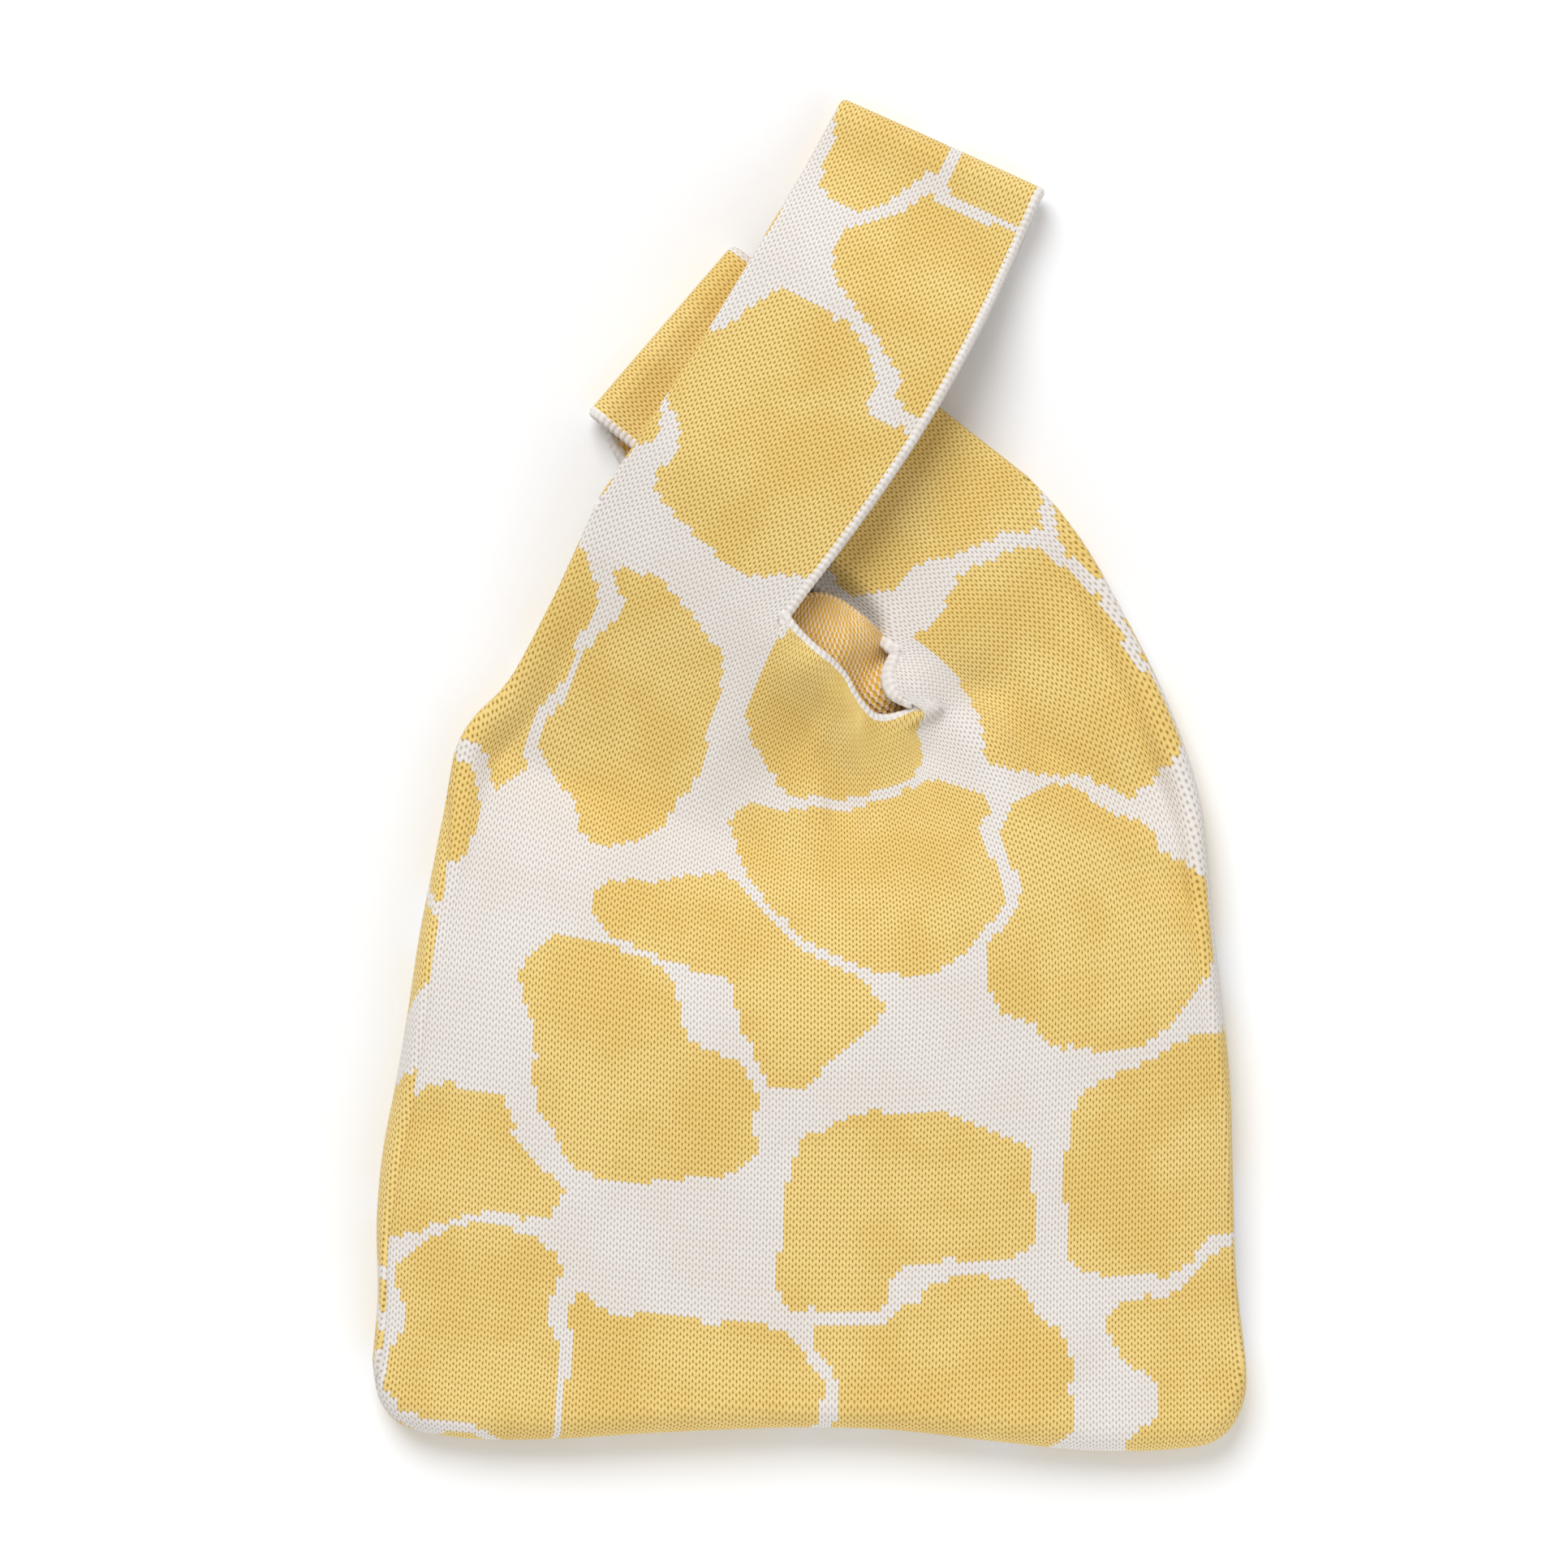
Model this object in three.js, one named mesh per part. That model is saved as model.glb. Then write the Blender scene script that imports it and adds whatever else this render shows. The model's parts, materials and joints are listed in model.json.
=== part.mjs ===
// Knitted knot bag lying flat on its back: a puffed pouch with a long and a short handle loop.
// Millimetres. +X to the right, +Y from the base towards the handles, +Z up towards the front panel.

import * as THREE from 'three';

// Fabric and the gap that neighbouring pieces keep
const fabric = 2.6;
const clearance = 0.3;

// Pouch outline seen from the front: half widths, and heights above the base line
const baseHalfWidth = 113.3;
const hipHalfWidth = 111;
const leftWaistHalfWidth = 104;
const rightWaistHalfWidth = 107;
const leftUnderarmHalfWidth = 90.5;
const rightUnderarmHalfWidth = 96.5;
const pouchHeight = 172;
const hipHeight = 64;
const waistHeight = 110;
const underarmHeight = 181;
const cornerHeight = 19;
const cornerRadius = 7;
const baseWave = 3.2;

// How far each shoulder bows out from a straight line between underarm and handle
const leftShoulderBow = -2.5;
const rightShoulderBow = 3.6;

// Pouch depth: the front crowns up, the back lies flat with its rim curled up to the side seam
const frontCrown = 27;
const sideFullness = 0.4;
const rimHeight = 7;
const rimCurl = 13;
const baseRoll = 48;

// Handles: each is a band that leaves the front, folds over and goes back to the back panel
const handleWidth = 58;
const loopGap = 6;
const longReach = 124;
const longLean = 31;
const longEndSlant = -5.5;
const longRoot = new THREE.Vector2(-4.7, 42.5);
const shortReach = 97;
const shortLean = -51.7;
const shortEndSlant = -2.5;
const shortRoot = new THREE.Vector2(20.9, 32.9);

// The long loop lies on the short one: it climbs before its root and comes down past the crossing
const stackGap = 0.6;
const climbLength = 62;
const descentStart = 74;
const descentLength = 40;
const mouthWidth = 27;

// Finished edge along the mouth and the linked seams
const edgingWidth = 2.4;
const seamThickness = 2.4;
const linkedSeamWidth = 2.4;
const seamTurnOver = 12;
const frontNeckDrop = 27;
const backNeckDrop = 13;

const rad = THREE.MathUtils.degToRad;
const smooth = (from, to, x) => THREE.MathUtils.smoothstep(x, from, to);

// The two loops' layers, from the table up: back and front of the short loop, then of the long loop
const layer = fabric + loopGap;
const lift = layer + fabric + stackGap;
const foldRadius = layer / 2;
const seamRadius = seamThickness / 2;
const seamInset = fabric / 2 + 2 * clearance + seamRadius;

function handle(root, lean, side, reach, slant, heightAt) {
  const along = new THREE.Vector2(Math.sin(rad(lean)), Math.cos(rad(lean)));
  const outward = new THREE.Vector2(along.y, -along.x).multiplyScalar(side);
  const run = reach - fabric / 2 - foldRadius;
  return { root, along, outward, run, slant, heightAt, length: 2 * run + Math.PI * foldRadius };
}

const longLift = (s) => lift * (1 - smooth(descentStart, descentStart + descentLength, s));
const longHandle = handle(longRoot, longLean, -1, longReach, longEndSlant, longLift);
const shortHandle = handle(shortRoot, shortLean, 1, shortReach, shortEndSlant, () => 0);

// Height that the long handle's climb gives the panels below its root
function climbAt(point) {
  const fromRoot = point.clone().sub(longHandle.root);
  const before = fromRoot.dot(longHandle.along);
  const towardsMouth = -fromRoot.dot(longHandle.outward);
  return lift * smooth(-climbLength, 0, before) * (1 - smooth(0, mouthWidth, towardsMouth));
}

// Point on a handle's middle surface: travel runs up the front, over the fold and down the back
function handlePoint(band, lateral, travel) {
  const turn = THREE.MathUtils.clamp((travel - band.run) / foldRadius, 0, Math.PI);
  let s = travel;
  if (travel > band.run) {
    s = band.run + foldRadius * Math.sin(turn);
  }
  if (turn >= Math.PI) {
    s = band.length - travel;
  }
  const skew = 1 + (band.slant * (lateral / handleWidth - 0.5)) / band.run;
  const z = fabric / 2 + foldRadius * (1 + Math.cos(turn)) + band.heightAt(s);
  const place = band.root.clone()
    .addScaledVector(band.along, s * skew)
    .addScaledVector(band.outward, lateral);
  return new THREE.Vector3(place.x, place.y, z);
}

// Solid sheet from rows of points on its middle surface; square trues the normals along its edges
function sheetSolid(rows, thickness, square = () => {}) {
  const across = rows[0].length;
  const mid = new THREE.BufferGeometry();
  const index = [];
  for (let j = 0; j + 1 < rows.length; j += 1) {
    for (let i = 0; i + 1 < across; i += 1) {
      const a = j * across + i;
      index.push(a, a + 1, a + across + 1, a, a + across + 1, a + across);
    }
  }
  mid.setAttribute('position', new THREE.Float32BufferAttribute(rows.flat().flatMap((p) => [...p]), 3));
  mid.setIndex(index);
  mid.computeVertexNormals();
  const normals = mid.getAttribute('normal');
  const count = rows.length * across;
  const upper = [];
  const lower = [];
  for (let k = 0; k < count; k += 1) {
    const normal = new THREE.Vector3().fromBufferAttribute(normals, k);
    square(normal, k % across, Math.floor(k / across));
    normal.setLength(thickness / 2);
    const point = rows[Math.floor(k / across)][k % across];
    upper.push(...point.clone().add(normal));
    lower.push(...point.clone().sub(normal));
  }
  const rim = [];
  for (let i = 0; i < across; i += 1) rim.push(i);
  for (let j = 1; j < rows.length; j += 1) rim.push(j * across + across - 1);
  for (let i = across - 2; i >= 0; i -= 1) rim.push((rows.length - 1) * across + i);
  for (let j = rows.length - 2; j > 0; j -= 1) rim.push(j * across);
  const faces = [...index];
  for (let k = 0; k < index.length; k += 3) {
    faces.push(index[k] + count, index[k + 2] + count, index[k + 1] + count);
  }
  rim.forEach((a, k) => {
    const b = rim[(k + 1) % rim.length];
    faces.push(a, a + count, b + count, a, b + count, b);
  });
  const solid = new THREE.BufferGeometry();
  solid.setAttribute('position', new THREE.Float32BufferAttribute([...upper, ...lower], 3));
  solid.setIndex(faces);
  solid.computeVertexNormals();
  return solid;
}

// Round bead swept along a line of points
function bead(points, radius) {
  const section = new THREE.Shape().absarc(0, 0, radius, 0, 2 * Math.PI);
  const route = new THREE.CatmullRomCurve3(points);
  return new THREE.ExtrudeGeometry(section, {
    extrudePath: route,
    steps: points.length * 2,
    curveSegments: 3,
  });
}

// Outline of the pouch: base, two sides, and a top edge of handle root, neckline, handle root
const baseLine = -pouchHeight;
const handleEdge = edgingWidth + clearance;
const rootPoint = (band, lateral) => band.root.clone()
  .addScaledVector(band.outward, lateral)
  .addScaledVector(band.along, -clearance / 2);

function sideCurve(side, band, waistHalfWidth, underarmHalfWidth, shoulderBow) {
  const station = (halfWidth, height) => new THREE.Vector2(side * halfWidth, baseLine + height);
  const top = rootPoint(band, handleWidth);
  const underarm = station(underarmHalfWidth, underarmHeight);
  const shoulder = top.clone().lerp(underarm, 0.5).addScaledVector(band.outward, shoulderBow);
  return new THREE.SplineCurve([
    station(baseHalfWidth - fabric / 2, cornerHeight),
    station(hipHalfWidth - fabric / 2, hipHeight),
    station(waistHalfWidth - fabric / 2, waistHeight),
    underarm,
    shoulder,
    top,
  ]);
}

// The base dips at its right end and arches a little in the middle
function baseCurve() {
  const half = baseHalfWidth - fabric / 2;
  const low = baseLine + fabric / 2;
  const bend = cornerRadius * Math.SQRT1_2;
  const corner = (side, drop) => [
    new THREE.Vector2(side * half, baseLine + cornerHeight),
    new THREE.Vector2(side * (half - cornerRadius + bend), low - drop + cornerRadius - bend),
    new THREE.Vector2(side * (half - 2 * cornerRadius), low - drop),
  ];
  return new THREE.SplineCurve([
    ...corner(-1, 0),
    new THREE.Vector2(-half / 2, low),
    new THREE.Vector2(0, low + baseWave),
    new THREE.Vector2(half / 2, low - baseWave / 2),
    ...corner(1, baseWave).reverse(),
  ]);
}

function neckCurve(drop) {
  const from = rootPoint(longHandle, handleEdge);
  const to = rootPoint(shortHandle, handleEdge);
  const dip = new THREE.Vector2(0, -drop);
  return new THREE.CubicBezierCurve(
    from,
    from.clone().lerp(to, 0.5).addScaledVector(dip, 0.75),
    to.clone().addScaledVector(dip, 1.1),
    to,
  );
}

// Panel grid: columns crowd at the sides, rows crowd at the base, and two columns end at the neck
const columns = 28;
const rowsUp = 20;
const neckFrom = 9;
const neckTo = 19;
const frontNeckTrim = 0.5;
const backNeckTrim = 1.5;
const underarmRow = 0.64;
const columnAt = (i) => (1 - Math.cos((Math.PI * i) / columns)) / 2;
const rowAt = (j) => 1 - Math.cos((Math.PI * j) / (2 * rowsUp));
const leftSide = sideCurve(-1, longHandle, leftWaistHalfWidth, leftUnderarmHalfWidth, leftShoulderBow);
const rightSide = sideCurve(1, shortHandle, rightWaistHalfWidth, rightUnderarmHalfWidth, rightShoulderBow);
const base = baseCurve();

function topPoint(i, neck) {
  if (i <= neckFrom) {
    const share = Math.cos((Math.PI * i) / (2 * neckFrom));
    return rootPoint(longHandle, THREE.MathUtils.lerp(handleEdge, handleWidth, share));
  }
  if (i >= neckTo) {
    const share = Math.sin((Math.PI * (i - neckTo)) / (2 * (columns - neckTo)));
    return rootPoint(shortHandle, THREE.MathUtils.lerp(handleEdge, handleWidth, share));
  }
  return neck.getPoint((i - neckFrom) / (neckTo - neckFrom));
}

// Plan position by blending the four edges of the panel
function planPoint(i, j, neck) {
  const u = columnAt(i);
  const v = rowAt(j);
  const left = leftSide.getPoint(v);
  const right = rightSide.getPoint(v);
  const bottom = base.getPointAt(u);
  const top = topPoint(i, neck);
  const point = left.clone().multiplyScalar(1 - u).addScaledVector(right, u);
  point.addScaledVector(bottom, 1 - v).addScaledVector(top, v);
  point.addScaledVector(base.getPoint(0), -(1 - u) * (1 - v)).addScaledVector(base.getPoint(1), -u * (1 - v));
  point.addScaledVector(topPoint(0, neck), -(1 - u) * v).addScaledVector(topPoint(columns, neck), -u * v);
  return point;
}

const arcRise = (distance, length) => Math.sqrt(1 - (1 - Math.min(1, distance / length)) ** 2);

// Height of a panel's middle surface at a grid place, front or back
function panelHeight(j, point, isFront) {
  const v = rowAt(j);
  const fromLeft = point.distanceTo(leftSide.getPoint(v));
  const fromRight = point.distanceTo(rightSide.getPoint(v));
  const fromSide = Math.min(fromLeft, fromRight);
  const fromBase = v * pouchHeight;
  const share = fromLeft / (fromLeft + fromRight);
  const crown = (4 * share * (1 - share)) ** sideFullness * arcRise(fromBase, baseRoll);
  const curl = 1 - arcRise(fromSide, rimCurl) * arcRise(fromBase, rimCurl);
  const rim = rimHeight - clearance / 2 - fabric / 2;
  const pouchZ = isFront ? rimHeight + clearance / 2 + frontCrown * crown : fabric / 2 + rim * curl;
  const handleZ = fabric / 2 + climbAt(point) + (isFront ? layer : 0);
  return THREE.MathUtils.lerp(pouchZ, handleZ, smooth(underarmRow, 1, v));
}

function panelRows(isFront, neck) {
  const rows = [];
  for (let j = 0; j <= rowsUp; j += 1) {
    const row = [];
    for (let i = 0; i <= columns; i += 1) {
      const plan = planPoint(i, j, neck);
      row.push(new THREE.Vector3(plan.x, plan.y, panelHeight(j, plan, isFront)));
    }
    rows.push(row);
  }
  return rows;
}

// Rims that meet at the side and base seams end level, and the handle roots end upright
function squarePanel(normal, i, j) {
  if (j === rowsUp) {
    normal.setX(0).setY(0);
  } else if (i === 0 || i === columns || j === 0) {
    normal.z *= smooth(underarmRow, 1, rowAt(j));
  }
}

// Line of a linked seam, just inside a rim; turn is the side on which the pouch lies
function seamLine(places, turn) {
  const rim = places.map(([i, j]) => planPoint(i, j, frontNeck));
  return rim.map((point, k) => {
    const ahead = rim[Math.min(k + 1, rim.length - 1)];
    const tangent = ahead.clone().sub(rim[Math.max(k - 1, 0)]).normalize();
    const inside = new THREE.Vector2(-tangent.y, tangent.x).multiplyScalar(turn * seamInset);
    return new THREE.Vector3(point.x + inside.x, point.y + inside.y, rimHeight);
  });
}

// Edging along a neckline: a strip that carries the panel's top row on into the mouth
function neckEdging(rows, trim) {
  const places = [neckFrom + trim];
  for (let i = Math.ceil(neckFrom + trim + 0.1); i < neckTo - trim; i += 1) places.push(i);
  places.push(neckTo - trim);
  const onRow = (row, place) => {
    const column = Math.min(Math.floor(place), columns - 1);
    return row[column].clone().lerp(row[column + 1], place - column);
  };
  const edge = places.map((place) => onRow(rows[rowsUp], place));
  const below = places.map((place) => onRow(rows[rowsUp - 1], place));
  const strip = [[], []];
  edge.forEach((point, k) => {
    const ahead = edge[Math.min(k + 1, edge.length - 1)];
    const behind = edge[Math.max(k - 1, 0)];
    const tangent = ahead.clone().sub(behind).setZ(0).normalize();
    const rise = point.clone().sub(below[k]).setZ(0);
    const intoMouth = rise.addScaledVector(tangent, -rise.dot(tangent)).normalize();
    strip[0].push(point.clone().addScaledVector(intoMouth, clearance));
    strip[1].push(point.clone().addScaledVector(intoMouth, clearance + edgingWidth));
  });
  return sheetSolid(strip, fabric, (normal) => normal.setX(0).setY(0));
}

// A stretch of a handle between two travels and two distances from its mouth edge
function handleStrip(band, fromLateral, toLateral, fromTravel, toTravel, thickness, lateralSteps) {
  const straightSteps = 14;
  const foldSteps = 8;
  const stations = [fromTravel];
  const fold = Math.PI * foldRadius;
  const knots = [];
  for (let k = 1; k < straightSteps; k += 1) knots.push((band.run * k) / straightSteps);
  for (let k = 0; k <= foldSteps; k += 1) knots.push(band.run + (fold * k) / foldSteps);
  for (let k = 1; k < straightSteps; k += 1) knots.push(band.run + fold + (band.run * k) / straightSteps);
  knots.filter((t) => t > fromTravel + 1 && t < toTravel - 1).forEach((t) => stations.push(t));
  stations.push(toTravel);
  const rows = stations.map((travel) => {
    const row = [];
    for (let k = 0; k <= lateralSteps; k += 1) {
      row.push(handlePoint(band, THREE.MathUtils.lerp(fromLateral, toLateral, k / lateralSteps), travel));
    }
    return row;
  });
  const turned = band === longHandle ? rows.map((row) => row.slice().reverse()) : rows;
  return sheetSolid(turned, thickness);
}

const bag = new THREE.Group();

function piece(name, geometry, colour, roughness) {
  const material = new THREE.MeshStandardMaterial({ color: colour, roughness, metalness: 0 });
  const mesh = new THREE.Mesh(geometry, material);
  mesh.name = name;
  bag.add(mesh);
}

const yellow = 0xeccd6d;
const white = 0xf0ece8;
const cream = 0xe9ddc8;

const frontNeck = neckCurve(frontNeckDrop);
const backNeck = neckCurve(backNeckDrop);
const frontRows = panelRows(true, frontNeck);
const backRows = panelRows(false, backNeck);
piece('front_panel', sheetSolid(frontRows, fabric, squarePanel), yellow, 0.9);
piece('back_panel', sheetSolid(backRows, fabric, squarePanel), yellow, 0.9);
piece('front_neck_edging', neckEdging(frontRows, frontNeckTrim), white, 0.9);
piece('back_neck_edging', neckEdging(backRows, backNeckTrim), white, 0.9);

// Side and base seams run inside the rims
const sideRows = [];
for (let j = 6; rowAt(j) < underarmRow; j += 1) sideRows.push(j);
const baseColumns = [];
for (let i = 3; i <= columns - 3; i += 1) baseColumns.push(i);
piece('left_side_seam', bead(seamLine(sideRows.map((j) => [0, j]), -1), seamRadius), cream, 0.9);
piece('right_side_seam', bead(seamLine(sideRows.map((j) => [columns, j]), 1), seamRadius), cream, 0.9);
piece('base_seam', bead(seamLine(baseColumns.map((i) => [i, 0]), 1), seamRadius), cream, 0.9);

function handlePieces(name, band) {
  const start = clearance / 2;
  const end = band.length - clearance / 2;
  const seamStart = band.run + Math.PI * foldRadius + seamTurnOver;
  const seamEnd = seamStart + linkedSeamWidth;
  const lateral = [handleEdge, handleWidth];
  piece(`${name}_front`, handleStrip(band, ...lateral, start, seamStart - clearance, fabric, 5), yellow, 0.9);
  piece(`${name}_back`, handleStrip(band, ...lateral, seamEnd + clearance, end, fabric, 5), yellow, 0.9);
  piece(`${name}_seam`, handleStrip(band, ...lateral, seamStart, seamEnd, fabric, 5), cream, 0.9);
  piece(`${name}_edging`, handleStrip(band, 0, edgingWidth, start, end, fabric, 1), white, 0.9);
}

handlePieces('long_handle', longHandle);
handlePieces('short_handle', shortHandle);

// The origin is the middle of the outline, on the surface that the bag lies on
const box = new THREE.Box3().setFromObject(bag);
const middle = box.getCenter(new THREE.Vector3());
bag.position.set(-middle.x, -middle.y, -box.min.z);

export default bag;
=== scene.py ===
import json
import math

import bpy
import numpy as np
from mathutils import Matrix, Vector


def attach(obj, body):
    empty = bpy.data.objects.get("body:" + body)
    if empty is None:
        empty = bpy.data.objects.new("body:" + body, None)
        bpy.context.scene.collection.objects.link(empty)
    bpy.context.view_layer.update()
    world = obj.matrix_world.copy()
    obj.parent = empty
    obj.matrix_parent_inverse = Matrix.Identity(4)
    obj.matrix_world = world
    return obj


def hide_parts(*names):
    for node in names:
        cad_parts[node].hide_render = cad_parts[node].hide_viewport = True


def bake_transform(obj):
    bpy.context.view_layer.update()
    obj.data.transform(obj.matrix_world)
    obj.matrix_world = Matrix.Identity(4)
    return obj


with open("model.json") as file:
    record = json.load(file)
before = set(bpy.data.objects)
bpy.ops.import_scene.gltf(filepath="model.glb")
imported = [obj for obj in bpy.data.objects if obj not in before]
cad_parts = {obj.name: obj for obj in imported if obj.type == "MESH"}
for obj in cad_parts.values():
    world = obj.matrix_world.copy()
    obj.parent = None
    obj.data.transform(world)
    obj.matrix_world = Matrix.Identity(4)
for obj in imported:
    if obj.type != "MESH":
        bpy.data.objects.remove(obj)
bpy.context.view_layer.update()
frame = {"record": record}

# Sizes are in millimetres; meshes are written in metres.
MM = 0.001

# Knit and handles
FABRIC = 2.6
HALF = FABRIC / 2
WALE = 1.61
COURSE = 1.68
HANDLE_WIDTH = 58.0
LOOP_GAP = 6.0
STACK_GAP = 0.6
LAYER = FABRIC + LOOP_GAP
LIFT = LAYER + FABRIC + STACK_GAP
FOLD_RADIUS = LAYER / 2
SEAM_BEHIND = 12.0
HUMP_LENGTH = 30.0

# Pouch: rim, rise of the front, and the climb to the long handle's root
RIM_HEIGHT = 7.0
RIM_CURL = 13.0
RIM_SPLIT = 0.1
CROWN = 21.5
EDGE_ROLL = 7.0
ROLL_SHARE = 0.5
BASE_RISE = 120.0
UNDERARM = 0.64
CLIMB_LENGTH = 54.0
MOUTH_WIDTH = 27.0
BACK_CLIMB_FADE = 14.0
RELAX_ROUNDS = 24
RELAX_COLUMNS = 9.0

# Edges and seams
EDGE_RADIUS = 1.42
EDGE_WIDTH = 1.25
EDGE_OVERLAP = 0.7
INNER_EDGE = 1.9
SEAM_INSET = 3.2
SEAM_RADIUS = 1.1
LOOP_SEAM_RADIUS = 0.9
SEAM_WAVE = 0.3
UPRIGHT = [0.0, 0.0, 1.0]

# Grid of a panel
COLUMNS = 192
ROWS = 150
ROOT_SHARE = 0.32


def smooth(low, high, x):
    t = np.clip((np.asarray(x, float) - low) / (high - low), 0.0, 1.0)
    return t * t * (3 - 2 * t)


def bump(x, centre, width):
    return np.exp(-(((x - centre) / width) ** 2))


def unit(v):
    return v / np.maximum(np.linalg.norm(v, axis=-1, keepdims=True), 1e-9)


def through(points, steps=40):
    """A smooth plan curve through the points, as a function of the share of its length."""
    p = np.array(points, float)
    p = np.vstack([2 * p[0] - p[1], p, 2 * p[-1] - p[-2]])
    knots = np.concatenate([[0], np.cumsum(np.sqrt(np.linalg.norm(np.diff(p, axis=0), axis=1)))])
    dense = []
    for k in range(1, len(p) - 2):
        t0, t1, t2, t3 = knots[k - 1:k + 3]
        t = np.linspace(t1, t2, steps, endpoint=False)[:, None]
        a1 = (t1 - t) / (t1 - t0) * p[k - 1] + (t - t0) / (t1 - t0) * p[k]
        a2 = (t2 - t) / (t2 - t1) * p[k] + (t - t1) / (t2 - t1) * p[k + 1]
        a3 = (t3 - t) / (t3 - t2) * p[k + 1] + (t - t2) / (t3 - t2) * p[k + 2]
        b1 = (t2 - t) / (t2 - t0) * a1 + (t - t0) / (t2 - t0) * a2
        b2 = (t3 - t) / (t3 - t1) * a2 + (t - t1) / (t3 - t1) * a3
        dense.append((t2 - t) / (t2 - t1) * b1 + (t - t1) / (t2 - t1) * b2)
    dense = np.vstack(dense + [p[-2:-1]])
    length = np.concatenate([[0], np.cumsum(np.linalg.norm(np.diff(dense, axis=0), axis=1))])
    share = length / length[-1]

    def at(t):
        return np.stack([np.interp(t, share, dense[:, k]) for k in (0, 1)], -1)

    return at


# Handles: each has its own frame at the root, read from its joint.
def joint(name):
    return next(j for j in frame["record"]["behaviour"]["joints"] if j["name"] == name)


class Handle:
    """A loop of band: reach in plan, slant of its end, bow and spread of its run, drift of its back."""

    def __init__(self, joint_name, side, reach, end_slant, bow, spread, drift):
        hinge = joint(joint_name)
        axis = np.array(hinge["axis"][:2], float)
        self.root = np.array(hinge["pos_m"][:2], float) / MM
        self.along = np.array([-axis[1], axis[0]])
        self.outward = side * np.array([self.along[1], -self.along[0]])
        self.run = reach - HALF - FOLD_RADIUS
        self.length = 2 * self.run + math.pi * FOLD_RADIUS
        self.split = self.run + math.pi * FOLD_RADIUS + SEAM_BEHIND
        self.end_slant = end_slant
        self.bow = bow
        self.spread = spread
        self.drift = drift

    def plan(self, s, w):
        return self.root + np.multiply.outer(s, self.along) + np.multiply.outer(w, self.outward)

    def side_of(self, s, w):
        """Where a point of the band lies across it, with the bow of the laid band."""
        arch = np.sin(np.pi * np.clip(s / (self.run + FOLD_RADIUS), 0, 1))
        return w + arch * (self.bow + self.spread * (w / HANDLE_WIDTH - 0.5))

    def at(self, travel, w):
        """Middle of the fabric after some travel along the loop: front, fold, then back."""
        turn = np.clip((travel - self.run) / FOLD_RADIUS, 0, np.pi)
        back = travel > self.run + np.pi * FOLD_RADIUS
        s = np.where(back, self.length - travel, np.minimum(travel, self.run))
        skew = 1 + self.end_slant * (w / HANDLE_WIDTH - 0.5) / self.run
        behind = turn / np.pi
        across = self.side_of(s * skew + FOLD_RADIUS * np.sin(turn), w)
        across = across + self.drift * behind * np.sin(np.pi * np.clip(s / self.run, 0, 1) ** 4.5)
        place = s * skew + FOLD_RADIUS * np.sin(turn)
        point = self.root + place[..., None] * self.along + across[..., None] * self.outward
        z = HALF + FOLD_RADIUS * (1 + np.cos(turn)) + self.height(s, w, behind)
        return np.concatenate([point, z[..., None]], -1)


class LongHandle(Handle):
    """Lies over the short handle, humped behind its root, and comes down to the table at its end."""

    def height(self, s, w, behind):
        lying = LIFT * (1 - smooth(74, 114, s))
        crown = 1.3 * (1 - (2 * w / HANDLE_WIDTH - 1) ** 2) * smooth(0, 25, s) * (1 - behind)
        wave = 0.7 * np.sin(s / 17.0 + w / 40.0) * smooth(5, 30, s) * (1 - behind)
        hump = LIFT / CLIMB_LENGTH * HUMP_LENGTH * (1 - np.exp(-s / HUMP_LENGTH))
        hump = hump * (1 - smooth(58, 118, s)) * (1 - behind)
        return lying + crown + wave + hump


class ShortHandle(Handle):
    """Lies flat, with a dip where the mouth's edge pulls it down."""

    def height(self, s, w, behind):
        brink = 10.0 * (1 - np.exp(-s / 6.0))
        dip = -5.4 * (1 - smooth(brink - 5.5, brink + 2.0, w))
        dip = dip * smooth(0, 5, s) * (1 - smooth(34, 60, s))
        crown = 0.9 * (1 - (2 * w / HANDLE_WIDTH - 1) ** 2) * smooth(10, 40, s)
        return (dip + crown) * (1 - behind)


LONG = LongHandle("long_handle_fold", -1, reach=125.8, end_slant=-6.8, bow=-3.6, spread=3.0, drift=-0.6)
SHORT = ShortHandle("short_handle_fold", 1, reach=99.2, end_slant=-2.5, bow=0.0, spread=0.0, drift=-5.0)

# Outline of the pouch in plan, from the base corners up to the roots of the handles.
LEFT_SIDE = [
    (-112.4, -152.0), (-111.0, -134.6), (-111.2, -113.7), (-109.6, -96.9), (-106.4, -80.1),
    (-103.2, -61.3), (-100.0, -40.3), (-95.8, -19.4), (-92.6, -2.6), (-90.4, 7.9),
    (-86.4, 14.6), (-78.0, 23.2), (-65.4, 45.4),
]
RIGHT_SIDE = [
    (112.2, -151.9), (109.6, -128.9), (108.8, -103.7), (108.0, -78.6), (105.3, -51.3),
    (103.6, -36.6), (101.0, -9.4), (97.8, 3.2), (91.5, 20.0), (82.2, 38.8), (71.7, 57.6),
    (64.0, 68.4),
]
BASE = [
    (-112.4, -152.0), (-110.6, -161.5), (-105.6, -167.2), (-91.7, -170.4), (-70.7, -171.0),
    (-35.1, -169.0), (-3.7, -167.9), (21.5, -168.5), (46.6, -171.3), (73.9, -173.9),
    (94.8, -173.5), (103.9, -172.0), (109.0, -168.0), (112.0, -160.6), (112.2, -151.9),
]
FRONT_NECK = [
    (-6.7, 42.1), (-6.6, 41.0), (-5.9, 39.7), (-4.4, 37.8), (-2.2, 35.4), (0.8, 32.6), (5.0, 29.2),
    (8.4, 25.4), (10.4, 21.4), (11.6, 18.0), (14.4, 15.2), (18.6, 14.8), (21.4, 17.6), (21.3, 22.4),
    (21.2, 26.6), (22.2, 29.6), (23.0, 31.6), (22.9, 33.0),
]
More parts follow.
